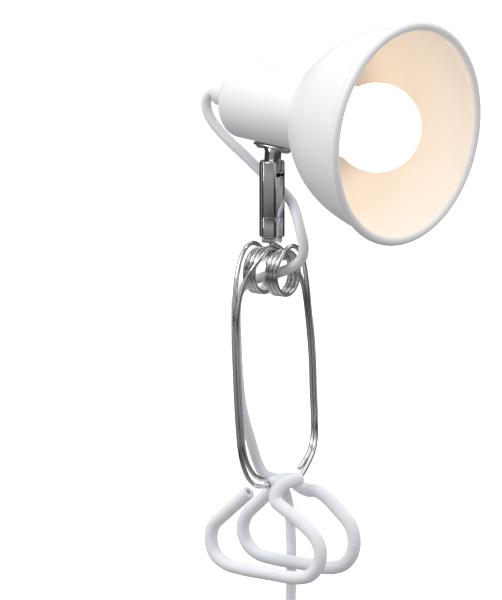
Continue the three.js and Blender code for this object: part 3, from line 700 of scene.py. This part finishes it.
def coil(side, name):
    """One coil, from its outer end past the top to its inner end."""
    steps = 150
    points = []
    for i in range(steps + 1):
        share = i / steps
        points.append(on_coil(side, COIL_OUT + (COIL_IN - COIL_OUT) * share, COIL_LEAD + COIL_TURN * share))
    piece(tube(name, points, WIRE_D, 20), WIRE, [name], LAMP, "root")


def leg_start(side, inner):
    if inner:
        return on_coil(side, COIL_IN, COIL_LEAD + COIL_TURN)
    return on_coil(side, COIL_OUT, COIL_LEAD)


def bend_with(obj):
    """Bakes the piece's place into its mesh."""
    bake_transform(obj)


def lever(way, leg, jaw, leg_name, sleeve_name, body):
    """A long leg with its jaw. way is -1 for the front lever and 1 for the rear one."""
    line = smooth([leg_start(way, False), *leg, *jaw], 1.2)
    mouth = nearest(line, jaw[0])
    wire = line[:-round(OPEN_END / 1.2)]
    obj = piece(tube(leg_name, with_ends(wire, 0.4), WIRE_D, 20), WIRE, [leg_name], LAMP)
    bend_with(obj)
    sleeve = with_ends(line[mouth:], 0.5)
    swell = rounded(sleeve, SLEEVE_D, 0.5)
    mesh = tube(sleeve_name, sleeve, SLEEVE_D, 32, SLEEVE_BORE, swell)
    piece(mesh, SLEEVE, [sleeve_name], LAMP, body)


def short_leg(way, leg, name):
    line = with_ends(smooth([leg_start(-way, True), *leg], 1.2), 0.4)
    obj = piece(tube(name, line, WIRE_D, 20, swell=rounded(line, WIRE_D, 0.4)), WIRE, [name], LAMP)
    bend_with(obj)


coil(-1, "coil_left")
coil(1, "coil_right")
lever(-1, FRONT_LEG, REAR_JAW, "front_lever_wire", "rear_jaw_sleeve", "front_lever")
lever(1, REAR_LEG, FRONT_JAW, "rear_lever_wire", "front_jaw_sleeve", "rear_lever")
short_leg(-1, FRONT_SHORT_LEG, "front_short_leg")
short_leg(1, REAR_SHORT_LEG, "rear_short_leg")


# ---- knuckle ----
def hexagon(across):
    r = across / math.sqrt(3)
    return [(r * math.cos(i * math.pi / 3), r * math.sin(i * math.pi / 3)) for i in range(6)]


def hex_collar():
    nut = shaped(prism("hex_collar", hexagon(10.6), 15.9, 18.6, "Z"), bevel=0.35, segments=3)
    piece(nut, TURNED, ["hex_collar"], LAMP, "root")
    spigot = lathe("collar_spigot", [(0, 18), (4, 18), (4, 22.2), (3.8, 22.4), (0, 22.4)])
    piece(spigot, TURNED, at=LAMP, body="root")


def knuckle_lower():
    profile = [
        (4.3, 18.9), *arc(KNUCKLE_R - 0.7, 19.6, 0.7, -90, 0, 5),
        *arc(KNUCKLE_R - 0.12, 29.68, 0.12, 0, 90, 3), (1.85, 29.8), (1.85, 26.8), (4.3, 26.8),
    ]
    piece(lathe("knuckle_lower", profile), TURNED, ["knuckle_lower"], LAMP, "root")


def slot_outline(half, low, top, right):
    """A slot open upwards and to the right, round at its inner corner."""
    turn = [(half * math.cos(a), low + half * math.sin(a)) for a in
            (math.pi * (1 + 0.5 * i / 10) for i in range(11))]
    return [(-half, top), *turn, (right, low - half), (right, top)]


def knuckle_upper():
    profile = [
        (0, 30.5), (5.4, 30.5), (5.4, 29.95), *arc(KNUCKLE_R - 0.12, 30.07, 0.12, -90, 0, 3),
        *arc(KNUCKLE_R - 1.1, 58.7, 1.1, 0, 90, 6), (0, 59.8),
    ]
    body = lathe("knuckle_upper", profile)
    slot = prism("slot", slot_outline(3.95, PIVOT_Z, 62, 14), -3.3, 3.3)
    screw_hole = lathe("hole", [(0, 20), (1.85, 20), (1.85, 42), (0, 42)], segments=24)
    pin_hole = lathe("hole", [(0, -5.7), (1.85, -5.7), (1.85, 10), (0, 10)], "Y", 24)
    pin_hole.transform(shift(0, 0, PIVOT_Z))
    mesh = shaped(body, [slot, screw_hole, pin_hole], bevel=0.3, segments=3)
    piece(mesh, TURNED, ["knuckle_upper"], SWIVEL, "knuckle")


def pivot_pin():
    profile = [(0, -5.4), (1.2, -5.4), (1.5, -5.1), (1.5, 5.6), (1.2, 5.9), (0, 5.9)]
    mesh = lathe("pivot_pin", profile, "Y", 48)
    mesh.transform(shift(0, 0, PIVOT_Z))
    piece(mesh, STEEL, ["pivot_pin"], SWIVEL, "knuckle")


PLATE_TOP = HEAD_Z - HOUSING_R - 0.3
PLATE_LOW = PLATE_TOP - 1.2
NECK_TOP = PLATE_LOW - 0.3


def neck_bar():
    half, wide = 3.6, 2.95
    foot = [(half * math.cos(a), PIVOT_Z + half * math.sin(a)) for a in
            (math.pi * (1 + i / 16) for i in range(17))]
    outline = [
        *foot, (half, NECK_TOP - 2.4), (half + 1.1, NECK_TOP),
        (-half - 1.1, NECK_TOP), (-half, NECK_TOP - 2.4),
    ]
    pin_hole = lathe("hole", [(0, -10), (1.85, -10), (1.85, 10), (0, 10)], "Y", 24)
    pin_hole.transform(shift(0, 0, PIVOT_Z))
    mesh = shaped(prism("neck_bar", outline, -wide, wide), [pin_hole], bevel=0.35, segments=3)
    piece(mesh, TURNED, ["neck_bar"], NECK, "head")


def bracket_plate():
    plate = prism("bracket_plate", box_loop(24, 9.4, 3), PLATE_LOW, PLATE_TOP, "Z")
    piece(shaped(plate, bevel=0.25), TURNED, ["bracket_plate"], NECK, "head")


def bracket_screws():
    for x, node in ((-8.6, "bracket_screw_rear"), (8.6, "bracket_screw_front")):
        top = PLATE_LOW - 0.3
        profile = [(0, top - 1.7), (1.6, top - 1.68), (2.3, top - 1.45), (2.75, top - 0.9), (2.9, top - 0.2),
                   (2.85, top), (1.5, top), (1.5, top + 6.4), (0, top + 6.4)]
        head = lathe(node, profile, segments=48)
        cross = [prism("cross", box_loop(w, h, 0.2, 2), top - 2, top - 0.8, "Z")
                 for w, h in ((3.6, 0.75), (0.75, 3.6))]
        mesh = shaped(head, cross, bevel=0.06, segments=1, angle=50)
        piece(mesh, STEEL, [node], NECK @ shift(x, 0, 0), "head")


hex_collar()
knuckle_lower()
knuckle_upper()
pivot_pin()
neck_bar()
bracket_plate()
bracket_screws()


# ---- head ----
def housing():
    wall, corner = 1.1, 4.8
    back = HOUSING_BACK
    outside = arc(HOUSING_R - corner, back + corner, corner, -90, 0, 14)
    inside = arc(HOUSING_R - corner, back + corner, corner - wall, 0, -90, 14)
    profile = [
        (4.4, back), *outside, (HOUSING_R, HOUSING_FRONT - 0.5), (HOUSING_R - 0.4, HOUSING_FRONT),
        (HOUSING_R - wall, HOUSING_FRONT), *inside, (4.4, back + wall),
    ]
    piece(lathe("housing", profile, "X", 128), PAINT, ["housing"], HEAD, "head")


def cord_bush():
    bore, r, back = 3.15, 6.5, -42.6
    profile = [
        *arc(bore + 0.5, back + 0.5, 0.5, 180, 270, 4), *arc(r - 1.9, back + 1.9, 1.9, -90, 0, 8),
        (r, HOUSING_BACK - 1.6), (r - 0.45, HOUSING_BACK - 1.3), (r - 0.45, HOUSING_BACK - 0.3),
        (4, HOUSING_BACK - 0.3), (4, HOUSING_BACK + 5.6), (bore, HOUSING_BACK + 5.6),
    ]
    piece(lathe("cord_bush", profile, "X"), PLASTIC, ["cord_bush"], HEAD, "head")


BELL = [(64.7, 21.2), (57.6, 30), (50, 37.4), (42, 43.4), (32, 48.6), (20, 52.4), (9, 54.8), (4.2, 55.8)]
BEAD_R = 2.4
BEAD_PITCH = 55.8
WALL = 1.1


def shade():
    outside = [(p.x, p.y) for p in smooth([(r, SHADE_RIM - back, 0) for back, r in BELL], 1.6)]
    inside = []
    for i in range(len(outside) - 1, -1, -1):
        a, b = outside[max(i - 1, 0)], outside[min(i + 1, len(outside) - 1)]
        along = Vector((b[0] - a[0], b[1] - a[1])).normalized()
        inside.append((outside[i][0] - along.y * WALL, outside[i][1] + along.x * WALL))
    inside = [p for p in inside if p[1] > SHADE_BACK + WALL + 0.3]
    bead = arc(BEAD_PITCH, SHADE_RIM - BEAD_R, BEAD_R, -50, 215, 20)
    profile = [(14.6, SHADE_BACK), (20.2, SHADE_BACK), *outside[:-1], *bead, *inside[1:],
               (19.6, SHADE_BACK + WALL), (14.6, SHADE_BACK + WALL)]
    mesh = lathe("shade", profile, "X", 160, 40)
    obj = piece(mesh, PAINT, ["shade"], HEAD, "head")
    # The second material, for the faces turned towards the axis, carries the painted warm glow and painted
    # shade.
    mesh.materials.append(PAINTED_LIGHT_LINING)
    for face in mesh.polygons:
        middle = face.center / MM
        facing = face.normal.y * middle.y + face.normal.z * middle.z
        if facing < 0 and middle.x < SHADE_RIM - 4:
            face.material_index = 1
    return obj


def lampholder():
    back = 1.4
    profile = [
        (0, back), (11.5, back), (11.5, 22), (16, 22), (16, SHADE_BACK - 0.3), (14.1, SHADE_BACK - 0.3),
        (14.1, back + 33.5), (13.6, back + 34), (9.9, back + 34), (9.4, back + 33.5),
        (9.4, back + 11), (0, back + 11),
    ]
    piece(lathe("lampholder", profile, "X"), CERAMIC, ["lampholder"], HEAD, "head")
    low, high = SHADE_BACK + WALL + 0.3, 34.6
    grips = 24
    loops = []
    for d, grow in ((low, -0.5), (low + 0.5, 0), (high - 0.5, 0), (high, -0.5)):
        loop = []
        for i in range(grips * 6):
            a = 2 * math.pi * i / (grips * 6)
            r = 17.7 + grow + 0.3 * math.cos(grips * a)
            loop.append((d, r * math.cos(a), r * math.sin(a)))
        loops.append(loop)
    for d in (high, low):
        loops.append([(d, 14.4 * math.cos(a), 14.4 * math.sin(a)) for a in
                      (2 * math.pi * i / (grips * 6) for i in range(grips * 6))])
    piece(skin("retaining_ring", loops, closed=True), CERAMIC, ["retaining_ring"], HEAD, "head")


def bulb():
    flare = smooth([(9, 36.6, 0), (11.6, 40.4, 0), (14.6, 44.4, 0), (17.4, 49, 0), (19.1, 53, 0)], 1)
    body = [(0, 33.7), (7.2, 33.7), (7.6, 34.1), *[(p.x, p.y) for p in flare], (18.8, 54), (0, 54)]
    piece(lathe("bulb_body", body, "X"), PLASTIC, ["bulb_body"], HEAD, "head")
    cap = [(0, 16.3), (3.6, 16.3), (5.4, 17.2)]
    for i in range(81):
        cap.append((7.2 - 0.3 * math.cos(2 * math.pi * i / 16), 17.7 + 15.0 * i / 80))
    piece(lathe("bulb_cap", [*cap, (7.5, 33.4), (0, 33.4)], "X"), NICKEL, ["bulb_cap"], HEAD, "head")
    start = 180 - math.degrees(math.asin(18.6 / BULB_R))
    outside = [(BULB_R * math.sin(math.radians(a)), BULB_X + BULB_R * math.cos(math.radians(a))) for a in
               (start * (1 - i / 40) for i in range(41))]
    inner = BULB_R - 0.9
    inside = [(inner * math.sin(math.radians(a)), BULB_X + inner * math.cos(math.radians(a))) for a in
              (start * i / 40 for i in range(41))]
    outside[-1] = (0, BULB_X + BULB_R)
    inside[0] = (0, BULB_X + inner)
    piece(open_globe("bulb_globe", outside, inside), GLOBE, ["bulb_globe"], HEAD, "head")


def open_globe(name, outside, inside):
    """A cup whose two walls each run to the axis, joined round the open edge."""
    segments = 96

    def loop(r, d):
        if r == 0:
            return [(d, 0, 0)]
        return [(d, r * math.cos(a), r * math.sin(a)) for a in
                (2 * math.pi * i / segments for i in range(segments))]

    return skin(name, [loop(*p) for p in [*inside, *outside]])


housing()
cord_bush()
shade()
lampholder()
bulb()


# ---- switch, guards and plug ----
def switch_half(name, face, seam, windowed):
    """A shell of the switch, from the seam to its rounded face along Y."""
    way = 1 if face > seam else -1
    loops = []
    for inset, depth in ((0.25, 0), (0, 0.25), (0.1, 4.5), (0.5, 6.2), (1.3, 7.2), (2.6, 7.7), (4.2, 7.85)):
        outline = box_loop(27 - 2 * inset, 46 - 2 * inset, 9 - inset)
        loops.append([(x, seam + way * depth, z) for x, z in outline])
    if windowed:
        for grow, depth in ((0.6, 7.85), (0.2, 7.6), (0, 7.2), (0, 3.4)):
            outline = box_loop(10.8 + grow, 18.8 + grow, 0.8)
            loops.append([(x, seam + way * depth, z) for x, z in outline])
    mesh = skin(name, loops)
    slot = lathe("slot", [(0, -40), (3.1, -40), (3.1, 40), (0, 40)], segments=32)
    mesh = shaped(mesh, [slot])
    piece(mesh, PLASTIC, [name], SWITCH, "front_lever")


def rocker():
    """The key, with a raised end, turning about X."""
    top = smooth([(-9, -7.8, 0), (-4.5, -8.25, 0), (0, -7.9, 0), (4.5, -9.2, 0), (9, -10.6, 0)], 0.7)
    outline = [(p.y, p.x) for p in top] + [(-4.2, 8.6), (-2.6, -8.6)]
    loops = [[(x, y, z) for y, z in outline] for x in (-5, 5)]
    mesh = shaped(skin("switch_rocker", loops), bevel=0.35, segments=3)
    piece(mesh, BLACK, ["switch_rocker"], SWITCH, "rocker")


def guard(name, start, end, wide, tip, place, body, nodes, look=PLASTIC, bore=3.05):
    """A ribbed cable guard that tapers from start to end."""
    ribs = 4
    profile = [(bore, start), (wide, start)]
    for i in range(1, ribs * 8 + 1):
        share = i / (ribs * 8)
        groove = 0.55 * max(0, math.sin(2 * math.pi * ribs * share)) ** 2
        profile.append((wide + (tip - wide) * share - groove, start + (end - start) * share))
    profile.append((bore, end))
    piece(lathe(name, profile, segments=64), look, nodes, place, body)


PLUG_OUTLINE = [
    (-6.5, -18.6), (6.5, -18.6), (10.5, -20.2), (13.8, -22.6), (16.2, -26), (17.4, -30), (17.6, -34),
    (17.6, -49), (17.1, -51.8), (15.4, -53.2), (13, -53.6), (-13, -53.6), (-15.4, -53.2), (-17.1, -51.8),
    (-17.6, -49), (-17.6, -34), (-17.4, -30), (-16.2, -26), (-13.8, -22.6), (-10.5, -20.2),
]


def plug():
    middle = (0, -38)
    loops = []
    edge = [(0.86, 6.8), (0.94, 6.45), (0.985, 5.6), (1, 4.2)]
    for share, y in [(share, -y) for share, y in edge] + edge[::-1]:
        loops.append([(x * share, y, middle[1] + (z - middle[1]) * share) for x, z in PLUG_OUTLINE])
    body = skin("plug_body", loops)
    grooves = []
    for side in (-1, 1):
        for z in (-30, -33, -36, -39, -42):
            groove = lathe("groove", [(0, -3.6), (0.6, -3.6), (0.6, 3.6), (0, 3.6)], "Y", 16)
            groove.transform(shift(side * 17.7, 0, z))
            grooves.append(groove)
    piece(shaped(body, grooves), PLASTIC, ["plug_body"], PLUG, "front_lever")
    for side, node in ((-1, "plug_pin_left"), (1, "plug_pin_right")):
        collar = [(0, -53.5), (1.95, -53.5), (1.95, -63.4), (1.8, -63.6), (0, -63.6)]
        sleeve = lathe(node + "_sleeve", collar, segments=48)
        point = arc(0.8, -71.8, 1.2, 0, -90, 6)
        tip = lathe(node, [(0, -53.9), (1.85, -53.9), (1.85, -63.6), (2, -63.7), *point, (0, -73)], segments=48)
        place = PLUG @ shift(side * 9.3, 0, 0)
        piece(tip, NICKEL, [node], place, "front_lever")
        piece(sleeve, PLASTIC, at=place, body="front_lever")


switch_half("switch_cover", -8, -0.15, True)
switch_half("switch_base", 8, 0.15, False)
rocker()
guard("switch_guard_top", 23.3, 31.4, 5, 3.7, SWITCH, "front_lever", ["switch_guard_top"])
guard("switch_guard_bottom", -23.3, -31.4, 5, 3.7, SWITCH, "front_lever", ["switch_guard_bottom"])
guard("plug_guard", -18.3, -0.3, 5.6, 3.6, PLUG, "front_lever", ["plug_guard"])
plug()


# ---- studio ----
def area_light(name, place, aim, size, watts, color=(1, 1, 1)):
    data = bpy.data.lights.new(name, "AREA")
    data.shape = "RECTANGLE"
    data.size, data.size_y = size
    data.energy = watts
    data.color = color
    lamp = bpy.data.objects.new(name, data)
    bpy.context.collection.objects.link(lamp)
    lamp.location = place
    lamp.rotation_mode = "QUATERNION"
    lamp.rotation_quaternion = (Vector(aim) - Vector(place)).to_track_quat("-Z", "Y")


def floor():
    size = 30
    height = cad_box[0].z - 0.001
    mesh = bpy.data.meshes.new("floor")
    corners = [(-size, -size, height), (size, -size, height), (size, size, height), (-size, size, height)]
    mesh.from_pydata(corners, [], [(0, 1, 2, 3)])
    pale = moulded("pale_floor", (0.88, 0.88, 0.88), (0.90, 0.90, 0.90), 0.8)
    shader = pale.node_tree.nodes["Principled BSDF"]
    shader.inputs["Emission Color"].default_value = (1, 1, 1, 1)
    shader.inputs["Emission Strength"].default_value = 0.3
    shader.inputs["Specular IOR Level"].default_value = 0.1
    mesh.materials.append(pale)
    obj = bpy.data.objects.new("floor", mesh)
    bpy.context.collection.objects.link(obj)
    obj.visible_diffuse = False
    obj.visible_glossy = False


def dark_card(name, azimuth, half_width):
    """A dark board round the lamp that only the chrome sees, as a dark streak.

    The azimuth is measured from the camera, in degrees, positive to the right of the view.
    """
    far = 1.2
    a = math.radians(azimuth - 54)
    w, low, high = far * math.tan(math.radians(half_width)), -0.35, 1.1
    mesh = bpy.data.meshes.new(name)
    mesh.from_pydata([(-w, 0, low), (w, 0, low), (w, 0, high), (-w, 0, high)], [], [(0, 1, 2, 3)])
    mesh.materials.append(material(name, (0.03, 0.03, 0.033), 0.9))
    obj = bpy.data.objects.new(name, mesh)
    bpy.context.collection.objects.link(obj)
    obj.location = (far * math.cos(a), far * math.sin(a), 0)
    obj.rotation_euler.z = a + math.pi / 2
    obj.visible_camera = False
    obj.visible_diffuse = False
    obj.visible_shadow = False


def ramp_of(tree, factor, stops):
    """A colour ramp of greys from (height, brightness) pairs, for heights from -1 to 1."""
    ramp = tree.nodes.new("ShaderNodeValToRGB")
    elements = ramp.color_ramp.elements
    while len(elements) < len(stops):
        elements.new(0.5)
    for element, (height, bright) in zip(elements, stops):
        element.position = height / 2 + 0.5
        element.color = (bright, bright, bright, 1)
    tree.links.new(factor, ramp.inputs["Fac"])
    return ramp.outputs["Color"]


def world():
    """Soft light from above. What the chrome sees has a darker band at the horizon."""
    sky = bpy.data.worlds.new("studio")
    bpy.context.scene.world = sky
    sky.use_nodes = True
    tree = sky.node_tree
    nodes, links = tree.nodes, tree.links
    nodes["Background"].inputs["Strength"].default_value = 1.3
    place = nodes.new("ShaderNodeTexCoord")
    split = nodes.new("ShaderNodeSeparateXYZ")
    span = nodes.new("ShaderNodeMapRange")
    span.inputs["From Min"].default_value = -1
    links.new(place.outputs["Generated"], split.inputs["Vector"])
    links.new(split.outputs["Z"], span.inputs["Value"])
    soft = ramp_of(tree, span.outputs["Result"], SOFT_LIGHT)
    seen = ramp_of(tree, span.outputs["Result"], SEEN_IN_CHROME)
    path = nodes.new("ShaderNodeLightPath")
    choose = nodes.new("ShaderNodeMix")
    choose.data_type = "RGBA"
    links.new(path.outputs["Is Glossy Ray"], choose.inputs["Factor"])
    links.new(soft, choose.inputs["A"])
    links.new(seen, choose.inputs["B"])
    links.new(choose.outputs["Result"], nodes["Background"].inputs["Color"])


SOFT_LIGHT = [(-1, 0.18), (-0.2, 0.33), (0.4, 0.74), (1, 0.93)]
SEEN_IN_CHROME = [(-1, 0.34), (-0.45, 0.03), (-0.08, 0.28), (0.12, 0.03), (0.4, 0.26), (1, 1.0)]
floor()
world()
centre = (0, 0, 0.12)
area_light("key", (-0.6, -1.2, 1.9), centre, (0.9, 0.9), 12)
area_light("fill", (-1.4, -1.1, 0.5), centre, (0.4, 1.2), 4)
area_light("back", (0.3, 1.6, 1.1), centre, (1.0, 0.6), 3.6)
dark_card("card_behind_right", 140, 22)
dark_card("card_behind_left", -140, 22)
dark_card("card_front_right", 26, 11)
dark_card("card_left", -95, 10)
bpy.context.scene.view_settings.view_transform = "Standard"
